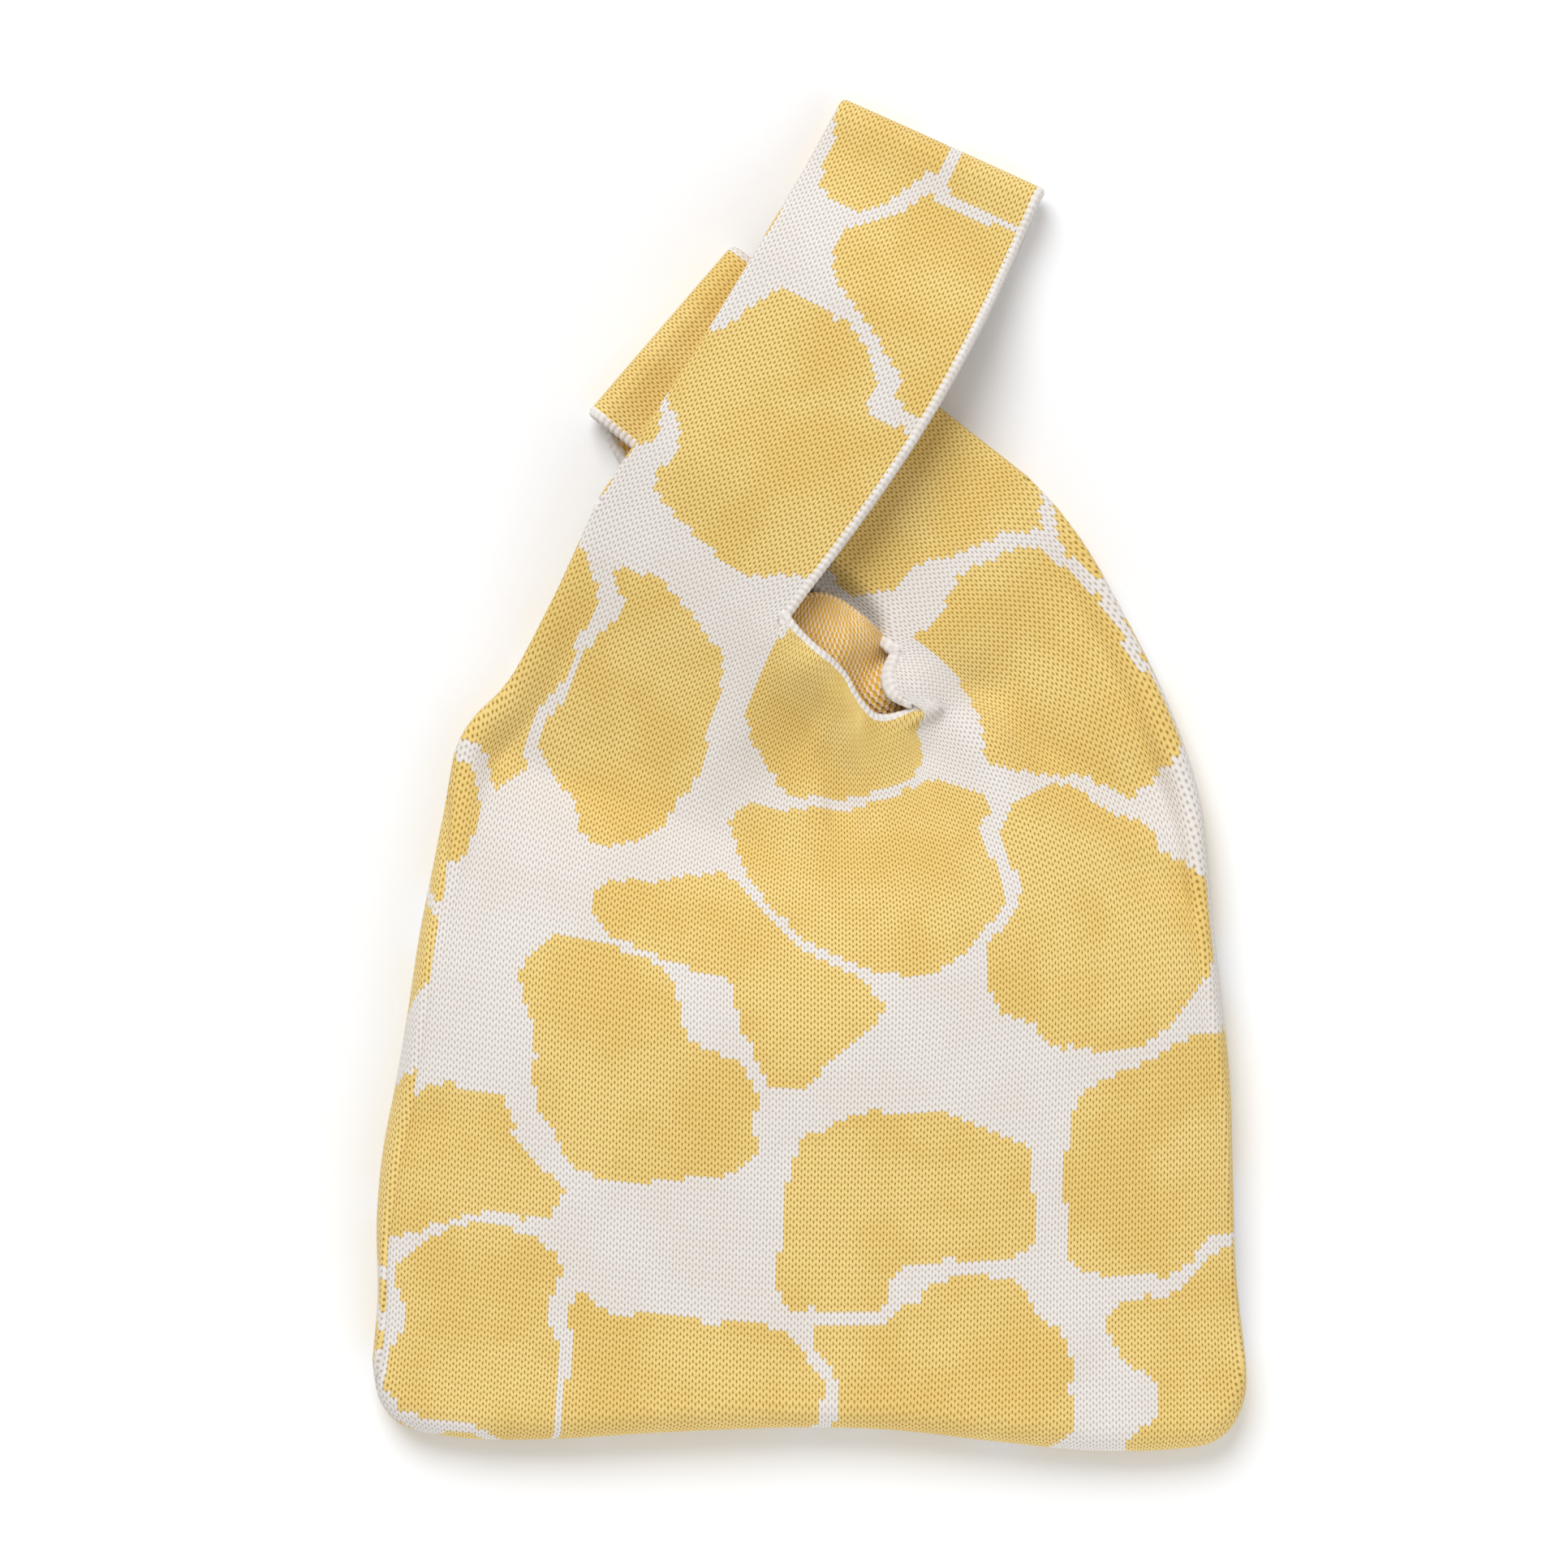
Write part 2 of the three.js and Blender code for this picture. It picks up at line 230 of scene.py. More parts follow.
BACK_NECK = [(1.6, 46.6), (6.2, 45.6), (13.2, 40.8), (18.4, 36.2)]
MOUTH_CORNER = ((23.0, 17.6), (9.0, 3.2), 7.2)
BACK_RISES = [((19.0, 23.5), (8.0, 8.0), 5.2), ((17.0, 36.6), (5.0, 5.0), 3.2)]


def root_line(handle, share):
    """Points across a handle's root, from its mouth side at 0 to its outer side at 1."""
    w = INNER_EDGE + share * (HANDLE_WIDTH - HALF - INNER_EDGE)
    return handle.plan(np.zeros_like(w), w)


def spaced(count):
    """Shares from 0 to 1, closer together towards 1."""
    k = np.linspace(0, 1, count + 1)
    return 0.45 * k + 0.55 * np.sin(np.pi / 2 * k)


ROOT_COLUMNS = round(COLUMNS * ROOT_SHARE)
NECK_COLUMNS = COLUMNS - 2 * ROOT_COLUMNS
ROOT_SHARES = spaced(ROOT_COLUMNS)
LEFT_ROOT = slice(0, ROOT_COLUMNS + 1)
NECK = slice(ROOT_COLUMNS, ROOT_COLUMNS + NECK_COLUMNS + 1)
RIGHT_ROOT = slice(ROOT_COLUMNS + NECK_COLUMNS, COLUMNS + 1)

# Shares of the way up (V) and across (U), closer together at the base and at the sides.
row_share = np.linspace(0, 1, ROWS + 1)
V = 0.35 * row_share + 0.65 * (1 - np.cos(np.pi / 2 * row_share))
column_share = np.linspace(0, 1, COLUMNS + 1)
U = 0.3 * column_share + 0.7 * (1 - np.cos(np.pi * column_share)) / 2


def panel_plan(neck):
    """The panel's grid in plan: a patch between its base, its two sides and its top edge."""
    left_root = root_line(LONG, ROOT_SHARES[::-1])
    right_root = root_line(SHORT, ROOT_SHARES)
    neck_share = np.linspace(0, 1, NECK_COLUMNS + 1)
    neckline = through([left_root[-1]] + neck + [right_root[0]])(neck_share)
    top = np.vstack([left_root[:-1], neckline[:-1], right_root])
    left = through(LEFT_SIDE + [left_root[0]])(V)
    right = through(RIGHT_SIDE + [right_root[-1]])(V)
    base = through(BASE)(U)
    u = U[None, :, None]
    v = V[:, None, None]
    ruled_across = (1 - u) * left[:, None] + u * right[:, None]
    ruled_up = (1 - v) * base[None] + v * top[None]
    corners = ((1 - u) * (1 - v) * base[0] + u * (1 - v) * base[-1]
               + (1 - u) * v * top[0] + u * v * top[-1])
    return ruled_across + ruled_up - corners


def local(plan, spot):
    """A smooth hill over the plan: its middle, its half widths and its height."""
    centre, widths, height = spot
    return height * np.exp(-(((plan - centre) / widths) ** 2).sum(-1))


def relaxed(plan, rounds):
    """The grid with its inner points evened out below the two ends of the neckline."""
    column = np.arange(COLUMNS + 1)
    by_column = (bump(column, COLUMNS - ROOT_COLUMNS, RELAX_COLUMNS)
                 + bump(column, ROOT_COLUMNS, RELAX_COLUMNS))
    weight = smooth(0.1, 0.5, V)[1:-1, None, None] * by_column[None, 1:-1, None]
    plan = plan.copy()
    for _ in range(rounds):
        mean = (plan[2:, 1:-1] + plan[:-2, 1:-1] + plan[1:-1, 2:] + plan[1:-1, :-2]) / 4
        plan[1:-1, 1:-1] += weight * (mean - plan[1:-1, 1:-1])
    return plan


def arc_rise(distance, length):
    near = 1 - np.clip(distance / length, 0, 1)
    return np.sqrt(np.maximum(1 - near * near, 0))


def steps_along(grid, axis):
    """Distance travelled along the rows (axis 1) or columns (axis 0) of a grid."""
    step = np.linalg.norm(np.diff(grid, axis=axis), axis=-1)
    pad = [(0, 0), (0, 0)]
    pad[axis] = (1, 0)
    return np.cumsum(np.pad(step, pad), axis=axis)


def straight(t):
    return np.clip(t, 0.0, 1.0)


def eased(t):
    return smooth(0.0, 1.0, t)


def climb(plan, first, last, ramp):
    """Height that the long handle's root gains over the short one, fading across the mouth."""
    from_root = plan - LONG.root
    before = from_root @ LONG.along
    towards_mouth = -(from_root @ LONG.outward)
    return LIFT * ramp(1 + before / CLIMB_LENGTH) * (1 - smooth(first, last, towards_mouth))


CREASE_STEPS = 80
CREASE_RADIUS = 1.5
CREASE_MERGE = 16.0

# Sharp creases of the front, where the puffed pouch meets the yokes of the two handles: plan points from
# left to right, depth, reach on the pouch side, reach on the handle side, and the share of its length
# from which it fades.
FRONT_CREASES = [
    ([(-94.0, 9.0), (-70.0, 0.5), (-43.0, -9.0), (-18.0, -17.5), (2.0, -21.5), (18.0, -14.0),
      (27.0, 0.0), (31.0, 12.0)], 8.6, 18.0, 22.0, 0.5),
    ([(28.0, 30.0), (46.0, 18.0), (68.0, 3.0), (88.0, -9.0), (104.0, -18.0)], 8.4, 17.0, 18.0, 0.75),
]


def crease_height(plan, points, depth, below, above, fade_from):
    """A sharp valley along a plan curve; where two stretches of it are close, the two run together."""
    t = np.linspace(0, 1, CREASE_STEPS)
    line = through(points)(t)
    along = unit(np.gradient(line, axis=0))
    gap = plan[..., None, :] - line
    over = along[:, 0] * gap[..., 1] - along[:, 1] * gap[..., 0]
    distance = np.sqrt((gap ** 2).sum(-1) + CREASE_RADIUS ** 2) - CREASE_RADIUS
    fade = smooth(0.0, 0.2, t) * (1 - smooth(fade_from, 1.0, t))
    share = fade * np.exp(-distance / np.where(over > 0, above, below))
    return -depth * np.log1p(np.expm1(CREASE_MERGE * share).sum(-1) / 3) / CREASE_MERGE


# Soft folds of the front: plan start, plan end, height (below zero for a valley), half width.
FRONT_FOLDS = [
    ((27.5, 30.4), (50.0, 20.0), -1.6, 5.0),
    ((26.0, 24.5), (52.0, 8.0), 4.4, 8.0),
    ((24.0, 18.4), (38.0, 16.0), -1.6, 4.0),
    ((-92.0, 12.0), (-58.0, -4.0), -2.6, 9.0),
    ((44.0, 8.0), (66.0, -26.0), 2.4, 9.0),
    ((30.0, 8.0), (44.0, -22.0), -1.8, 9.0),
    ((106.0, -34.0), (80.0, -22.0), -2.6, 6.0),
    ((104.0, -8.0), (86.0, 4.0), -2.0, 6.0),
    ((-8.0, 36.0), (-30.0, -6.0), 1.4, 9.0),
    ((1.0, 31.0), (13.0, 15.0), 4.0, 7.0),
    ((3.0, 12.0), (13.0, 8.0), 2.2, 7.0),
    ((5.0, -9.0), (15.0, -8.0), -2.4, 8.0),
    ((-108.0, -92.0), (-84.0, -86.0), -1.2, 6.0),
    ((60.0, -166.0), (66.0, -140.0), 1.2, 9.0),
    ((2.0, -166.0), (-4.0, -142.0), -1.4, 14.0),
]


def fold_height(plan, folds):
    total = np.zeros(plan.shape[:-1])
    for start, end, height, width in folds:
        start, end = np.array(start), np.array(end)
        line = end - start
        t = np.clip((plan - start) @ line / (line @ line), -0.35, 1.35)
        away = np.linalg.norm(plan - (start + t[..., None] * line), axis=-1)
        fade = smooth(-0.35, 0.1, t) * (1 - smooth(0.55, 1.35, t))
        total += height * fade * np.exp(-((away / width) ** 2))
    return total


def front_grid():
    plan = relaxed(panel_plan(FRONT_NECK), RELAX_ROUNDS)
    plan[..., 0] += local(plan, MOUTH_CORNER)
    across = steps_along(plan, 1)
    share = across / across[:, -1:]
    up = steps_along(plan, 0)
    from_side = np.minimum(across, across[:, -1:] - across)
    slow_side = 4 * share * (1 - share)
    slow_up = smooth(0, BASE_RISE, up)
    side = ROLL_SHARE * arc_rise(from_side, EDGE_ROLL) + (1 - ROLL_SHARE) * slow_side
    rise = ROLL_SHARE * arc_rise(up, EDGE_ROLL) + (1 - ROLL_SHARE) * slow_up
    pouch = RIM_HEIGHT + RIM_SPLIT + CROWN * side * rise
    handle = HALF + LAYER + climb(plan, 0, MOUTH_WIDTH, straight)
    # The cloth turns from pouch to handle between two shares of the way up, later below the mouth.
    tongue = bump(column_share, 0.6, 0.1)
    first = 0.44 + 0.14 * tongue
    last = 0.84 + 0.16 * smooth(0.3, 0.58, column_share)
    z = pouch + (handle - pouch) * smooth(first[None], last[None], V[:, None])
    inside = smooth(0.0, 0.05, share) * (1 - smooth(0.95, 1.0, share)) * smooth(0, 9, up)
    over_roots = np.abs(np.arange(COLUMNS + 1) - COLUMNS / 2) > NECK_COLUMNS / 2 - 2
    settled = 1 - smooth(0.97, 1.0, V)[:, None] * over_roots
    below_neck = (1 - smooth(0.86, 0.99, V))[:, None]
    folds = fold_height(plan, FRONT_FOLDS)
    for crease in FRONT_CREASES:
        folds = folds + crease_height(plan, *crease) * below_neck
    z = z + folds * inside * settled
    return np.concatenate([plan, z[..., None]], -1)


def back_grid():
    plan = panel_plan(BACK_NECK)
    across = steps_along(plan, 1)
    from_side = np.minimum(across, across[:, -1:] - across)
    up = steps_along(plan, 0)
    curl = 1 - arc_rise(from_side, RIM_CURL) * arc_rise(up, RIM_CURL)
    pouch = HALF + (RIM_HEIGHT - RIM_SPLIT - HALF) * curl
    handle = HALF + climb(plan, BACK_CLIMB_FADE, MOUTH_WIDTH, eased)
    z = pouch + (handle - pouch) * smooth(UNDERARM, 1, V)[:, None]
    rooted = np.ones((ROWS + 1, COLUMNS + 1))
    rooted[:, LEFT_ROOT] = 1 - smooth(0.96, 1.0, V)[:, None]
    rooted[:, RIGHT_ROOT] = 1 - smooth(0.96, 1.0, V)[:, None]
    for rise in BACK_RISES:
        z = z + local(plan, rise) * rooted
    return np.concatenate([plan, z[..., None]], -1)


def grid_normals(grid):
    du = np.gradient(grid, axis=1)
    dv = np.gradient(grid, axis=0)
    return unit(np.cross(du, dv))


def best_fit(across, up, spread_across, spread_up, held=None, values=None, rounds=900):
    """Grid values whose steps come closest to the wanted steps across and up."""
    shape = (up.shape[0] + 1, across.shape[1] + 1)
    free = np.ones(shape) if held is None else (~held).astype(float)
    weight = np.zeros(shape)
    for part in (np.s_[:, 1:], np.s_[:, :-1]):
        weight[part] += spread_across
    for part in (np.s_[1:], np.s_[:-1]):
        weight[part] += spread_up

    def gather(a, u):
        total = np.zeros(shape)
        total[:, 1:] += spread_across * a
        total[:, :-1] -= spread_across * a
        total[1:] += spread_up * u
        total[:-1] -= spread_up * u
        return total

    def spread(x):
        return gather(np.diff(x, axis=1), np.diff(x, axis=0))

    x = np.zeros(shape) if values is None else values * (1 - free)
    x = x + free * (x.sum() / max(1.0, (1 - free).sum()))
    left = free * (gather(across, up) - spread(x))
    eased = left / weight
    way = eased
    size = (left * eased).sum()
    for _ in range(rounds):
        pull = free * spread(way)
        step = size / (way * pull).sum()
        x = x + step * way
        left = left - step * pull
        eased = left / weight
        fresh = (left * eased).sum()
        if fresh < 1e-9:
            break
        way = eased + fresh / size * way
        size = fresh
    return x


BODY_LEANS = (7.5, -4.4)


def wale_lean(plan):
    """Angle of the wales from +Y over a panel: along the sides below, along the handles above."""
    long_lean = math.atan2(LONG.along[0], LONG.along[1])
    short_lean = math.atan2(SHORT.along[0], SHORT.along[1])
    turn = smooth(0.34, 0.66, column_share)[None]
    top = long_lean + (short_lean - long_lean) * turn
    body = np.radians(BODY_LEANS[0] + (BODY_LEANS[1] - BODY_LEANS[0]) * U)[None]
    share = smooth(0.45, 1.0, V)[:, None]
    return body + (top - body) * share


def stitch_map(grid):
    """Wale and course numbers over a panel, running on into both handles."""
    lean = wale_lean(grid)
    along = np.stack([np.sin(lean), np.cos(lean), np.zeros_like(lean)], -1)
    normals = grid_normals(grid)
    along = unit(along - (along * normals).sum(-1, keepdims=True) * normals)
    side = np.cross(along, normals)
    step_across, step_up = np.diff(grid, axis=1), np.diff(grid, axis=0)
    length_across = np.maximum(np.linalg.norm(step_across, axis=-1), 0.05)
    length_up = np.maximum(np.linalg.norm(step_up, axis=-1), 0.05)
    tall = np.pad(length_up, ((1, 1), (0, 0)), mode="edge")
    tall = (tall[1:, :] + tall[:-1, :]) / 2
    wide = np.pad(length_across, ((0, 0), (1, 1)), mode="edge")
    wide = (wide[:, 1:] + wide[:, :-1]) / 2
    spread_across = (tall[:, 1:] + tall[:, :-1]) / 2 / length_across
    spread_up = (wide[1:] + wide[:-1]) / 2 / length_up
    roots = np.zeros(grid.shape[:2], bool)
    roots[-1, LEFT_ROOT] = True
    roots[-1, RIGHT_ROOT] = True
    maps = []
    for field, pitch, crosswise in ((side, WALE, True), (along, COURSE, False)):
        across = ((field[:, 1:] + field[:, :-1]) / 2 * step_across).sum(-1)
        up = ((field[1:] + field[:-1]) / 2 * step_up).sum(-1)
        loose = best_fit(across, up, spread_across, spread_up)
        values = np.zeros(grid.shape[:2])
        for part in (LEFT_ROOT, RIGHT_ROOT):
            root = loose[-1, part]
            from_end = np.linalg.norm(grid[-1, part] - grid[-1, part][0], axis=-1)
            ramp = from_end if crosswise else 0 * root
            values[-1, part] = root.mean() + ramp - ramp.mean()
        maps.append(best_fit(across, up, spread_across, spread_up, roots, values) / pitch)
    return np.stack(maps, -1)


# Meshes
def add_mesh(name, vertices, faces, materials, face_material=None, point_data=None, sharp=None):
    mesh = bpy.data.meshes.new(name)
    mesh.from_pydata((np.asarray(vertices) * MM).tolist(), [], faces)
    for material in materials:
        mesh.materials.append(material)
    if face_material is not None:
        mesh.polygons.foreach_set("material_index", np.asarray(face_material, np.int32))
    mesh.polygons.foreach_set("use_smooth", np.ones(len(mesh.polygons), bool))
    for key, values in (point_data or {}).items():
        layer = mesh.attributes.new(key, "FLOAT_VECTOR", "POINT")
        layer.data.foreach_set("vector", np.asarray(values, np.float32).ravel())
    if sharp is not None:
        ends = np.zeros(2 * len(mesh.edges), np.int32)
        mesh.edges.foreach_get("vertices", ends)
        keys = np.sort(ends.reshape(-1, 2), axis=1) @ [len(vertices), 1]
        wanted = np.sort(sharp, axis=1) @ [len(vertices), 1]
        layer = mesh.attributes.new("sharp_edge", "BOOLEAN", "EDGE")
        layer.data.foreach_set("value", np.isin(keys, wanted))
    mesh.update()
    piece = bpy.data.objects.new(name, mesh)
    bpy.context.collection.objects.link(piece)
    return piece


def tightness(grid, stitches):
    """How far the fabric is pushed together at each point: 0 where it lies at its own gauge."""
    area = np.linalg.norm(np.cross(np.gradient(grid, axis=1), np.gradient(grid, axis=0)), axis=-1)
    across, up = np.gradient(stitches, axis=1), np.gradient(stitches, axis=0)
    count = np.abs(across[..., 0] * up[..., 1] - across[..., 1] * up[..., 0])
    return 1 - smooth(0.35, 0.7, area / (count * WALE * COURSE + 1e-9))


def boundary(rows, columns):
    """Grid places round the edge, counter-clockwise: base, right, top, left."""
    loop = [(0, i) for i in range(columns)]
    loop += [(j, columns - 1) for j in range(1, rows)]
    loop += [(rows - 1, i) for i in range(columns - 2, -1, -1)]
    loop += [(j, 0) for j in range(rows - 2, 0, -1)]
    return loop


def fabric(name, grid, normals, stitches, wrap, roundness, aims, materials, steps=3):
    """A closed piece of fabric round its middle grid, with rounded or square edges.

    aims gives the way out at grid places where two pieces meet, so that their edges run on.
    """
    rows, columns = grid.shape[:2]
    outer = grid + normals * HALF
    inner = grid - normals * HALF
    count = rows * columns
    vertices = [outer.reshape(-1, 3), inner.reshape(-1, 3)]
    stitch = np.concatenate([stitches, tightness(grid, stitches)[..., None]], -1).reshape(-1, 3)
    wrap = np.repeat(wrap.reshape(-1, 1), 3, axis=1)
    data = {"stitch": [stitch, stitch], "wrap": [wrap, wrap]}
    index = np.arange(count).reshape(rows, columns)
    a, b = index[:-1, :-1].ravel(), index[:-1, 1:].ravel()
    c, d = index[1:, 1:].ravel(), index[1:, :-1].ravel()
    faces = np.stack([a, b, c, d], 1).tolist()
    faces += (np.stack([d, c, b, a], 1) + count).tolist()
    slots = [0] * len(a) + [1] * len(a)
    loop = np.array(boundary(rows, columns))
    at = grid[loop[:, 0], loop[:, 1]]
    n = normals[loop[:, 0], loop[:, 1]]
    tangent = unit(np.roll(at, -1, axis=0) - np.roll(at, 1, axis=0))
    outward = unit(np.cross(tangent, n))
    for place, aim in aims.items():
        outward[np.flatnonzero((loop == place).all(1))] = aim
    swell = roundness[loop[:, 0], loop[:, 1]][:, None]
    first = index[loop[:, 0], loop[:, 1]]
    within = np.stack([np.clip(loop[:, 0], 2, rows - 3), np.clip(loop[:, 1], 2, columns - 3)], 1)
    behind = index[within[:, 0], within[:, 1]]
    reach = np.linalg.norm(at - grid[within[:, 0], within[:, 1]], axis=-1, keepdims=True)
    run_on = (stitch[first] - stitch[behind]) / np.maximum(reach, 0.2)
    rings = [first]
    total = 2 * count
    for k in range(1, steps + 1):
        phi = math.pi * k / (steps + 1)
        vertices.append(at + HALF * (math.cos(phi) * n + math.sin(phi) * swell * outward))
        rings.append(total + np.arange(len(loop)))
        total += len(loop)
        data["stitch"].append(stitch[first] + run_on * [1, 1, 0] * swell * HALF * phi)
        data["wrap"].append(wrap[first])
    rings.append(first + count)
    for k, (low, high) in enumerate(zip(rings[:-1], rings[1:])):
        quad = np.stack([np.roll(low, -1), low, high, np.roll(high, -1)], 1)
        faces += quad.tolist()
        slots += [int(2 * k > steps)] * len(quad)
    data = {key: np.concatenate(parts) for key, parts in data.items()}
    square = (swell[:, 0] == 0) | (np.roll(swell[:, 0], -1) == 0)
    sharp = np.concatenate(
        [np.stack([ring, np.roll(ring, -1)], 1)[square] for ring in (rings[0], rings[-1])])
    return add_mesh(name, np.concatenate(vertices), faces, materials, slots, data, sharp)


def rope(name, path, up, radius, material, pitch=COURSE, wave=0.07, around=10, lean=0.25, over=0.0,
         flat=1.0):
    """A rolled, scalloped edge of fabric along a path, which runs over each end of it.

    flat makes it wider than high.
    """
    path = np.asarray(path, float).copy()
    path[0] += over * unit(path[0] - path[1])
    path[-1] += over * unit(path[-1] - path[-2])
    length = np.concatenate([[0], np.cumsum(np.linalg.norm(np.diff(path, axis=0), axis=1))])
    count = max(8, int(length[-1] / pitch * 6))
    t = np.linspace(0, length[-1], count)
    centre = np.stack([np.interp(t, length, path[:, k]) for k in range(3)], -1)
    lift = unit(np.stack([np.interp(t, length, up[:, k]) for k in range(3)], -1))
    tangent = unit(np.gradient(centre, axis=0))
    side = unit(np.cross(tangent, lift))
    lift = unit(np.cross(side, tangent))
    beads = max(1, round(length[-1] / pitch))
    beat = np.abs(np.cos(t / length[-1] * beads * np.pi))
    radius = np.interp(t / length[-1], np.linspace(0, 1, np.size(radius)), np.ravel(radius))
    vertices, stitch = [], []
    for k in range(around):
        angle = 2 * math.pi * k / around
        r = radius * (1 - wave + wave * 1.6 * beat)
        slide = tangent * (lean * math.sin(angle) * radius)[:, None]
        out = math.cos(angle) * flat * side + math.sin(angle) * lift
        vertices.append(centre + out * r[:, None] + slide)
        stitch.append(np.stack([np.full(count, k * 1.0), t / length[-1] * beads, np.zeros(count)], -1))
    index = np.arange(around * count).reshape(around, count)
    faces = []
    for k in range(around):
        low, high = index[k], index[(k + 1) % around]
        faces += np.stack([low[:-1], high[:-1], high[1:], low[1:]], 1)[:, ::-1].tolist()
    faces.append(index[:, 0].tolist())
    faces.append(index[::-1, -1].tolist())
    return add_mesh(name, np.concatenate(vertices), faces, [material],
                    point_data={"stitch": np.concatenate(stitch)})


# Materials
def linear(colour):
    return [((c / 255 + 0.055) / 1.055) ** 2.4 if c > 10 else c / 3294 for c in colour] + [1.0]


class Nodes:
    """Short forms for building a node tree."""

    def __init__(self, name):
        self.material = bpy.data.materials.new(name)
        self.material.use_nodes = True
        self.tree = self.material.node_tree
        self.shader = self.tree.nodes["Principled BSDF"]

    def put(self, kind, **settings):
        node = self.tree.nodes.new(kind)
        for key, value in settings.items():
            setattr(node, key, value)
        return node

    def link(self, source, socket):
        if isinstance(source, (int, float)):
            socket.default_value = source
        else:
            self.tree.links.new(source, socket)

    def math(self, operation, *values, clamp=False):
        node = self.put("ShaderNodeMath", operation=operation, use_clamp=clamp)
        for value, socket in zip(values, node.inputs):
            self.link(value, socket)
        return node.outputs[0]

    def mix(self, factor, a, b):
        node = self.put("ShaderNodeMix", data_type="RGBA")
        self.link(factor, node.inputs[0])
        for value, socket in ((a, node.inputs[6]), (b, node.inputs[7])):
            if isinstance(value, (list, tuple)):
                socket.default_value = value
            else:
                self.tree.links.new(value, socket)
        return node.outputs[2]

    def attribute(self, name):
        node = self.put("ShaderNodeAttribute", attribute_name=name)
        split = self.put("ShaderNodeSeparateXYZ")
        self.tree.links.new(node.outputs["Vector"], split.inputs[0])
        return split.outputs

    def vector(self, x, y, z=0.0):
        node = self.put("ShaderNodeCombineXYZ")
        for value, socket in zip((x, y, z), node.inputs):
            self.link(value, socket)
        return node.outputs[0]

    def noise(self, vector, scale, detail=2.0, roughness=0.5):
        node = self.put("ShaderNodeTexNoise", noise_dimensions="2D")
        self.link(vector, node.inputs["Vector"])
        node.inputs["Scale"].default_value = scale
        node.inputs["Detail"].default_value = detail
        node.inputs["Roughness"].default_value = roughness
        return node.outputs

    def ease(self, value, low, high):
        node = self.put("ShaderNodeMapRange", interpolation_type="SMOOTHSTEP")
        self.link(value, node.inputs[0])
        node.inputs[1].default_value = low
        node.inputs[2].default_value = high
        return node.outputs[0]

    def surface(self, colour, height, distance, strength, roughness, sheen):
        self.link(colour, self.shader.inputs["Base Color"])
        relief = self.put("ShaderNodeBump")
        relief.inputs["Strength"].default_value = strength
        relief.inputs["Distance"].default_value = distance
        self.link(height, relief.inputs["Height"])
        self.link(relief.outputs[0], self.shader.inputs["Normal"])
        self.shader.inputs["Roughness"].default_value = roughness
        self.shader.inputs["Sheen Weight"].default_value = sheen
        self.shader.inputs["Sheen Roughness"].default_value = 0.6
        self.shader.inputs["Specular IOR Level"].default_value = 0.15
        return self.material


YELLOW = linear((245, 220, 145))
YELLOW_DEEP = linear((233, 201, 118))
# Painted shade for the hollows between the stitches of the yellow knit.
YELLOW_GAP_SHADE = linear((162, 120, 34))
WHITE = linear((238, 234, 232))
WHITE_SOFT = linear((231, 226, 221))
# Painted shade for the hollows between the stitches of the white knit and of the white rolled edge.
WHITE_GAP_SHADE = linear((188, 178, 167))
AMBER = linear((242, 186, 66))
CREAM = linear((250, 226, 186))
REVERSE_DEEP = linear((240, 208, 160))
SEAM_PALE = linear((240, 226, 198))
SEAM_DEEP = linear((232, 214, 178))
# Painted shade for the grooves of the seam yarn.
SEAM_GAP_SHADE = linear((180, 150, 96))
DOT_PITCH = (2.1, 3.1)
# The patches, in shares of their size: gap between them, largest radius, rounding, raggedness.
MOTIF = 60.0
PATCH_GAP = 0.03
PATCH_RADIUS = 0.555
PATCH_ROUNDING = 0.22
PATCH_RAGGED = 0.04
PANEL_SHIFT = 67.0


def stitch_cells(n, wale, course):
    """Wale and course of the stitch at a point, with the place inside it and its relief."""
    column = n.math("FLOOR", wale)
    du = n.math("ABSOLUTE", n.math("SUBTRACT", n.math("SUBTRACT", wale, column), 0.5))
    skewed = n.math("SUBTRACT", course, du)
    row = n.math("FLOOR", skewed)
    fv = n.math("SUBTRACT", skewed, row)
    leg = n.math("SINE", n.math("MULTIPLY", fv, math.pi))
    rib = n.math("SINE", n.math("MULTIPLY", du, 2 * math.pi))
    height = n.math("SUBTRACT", n.math("ADD", leg, rib), n.math("MULTIPLY", leg, rib))
    return column, row, leg, rib, height


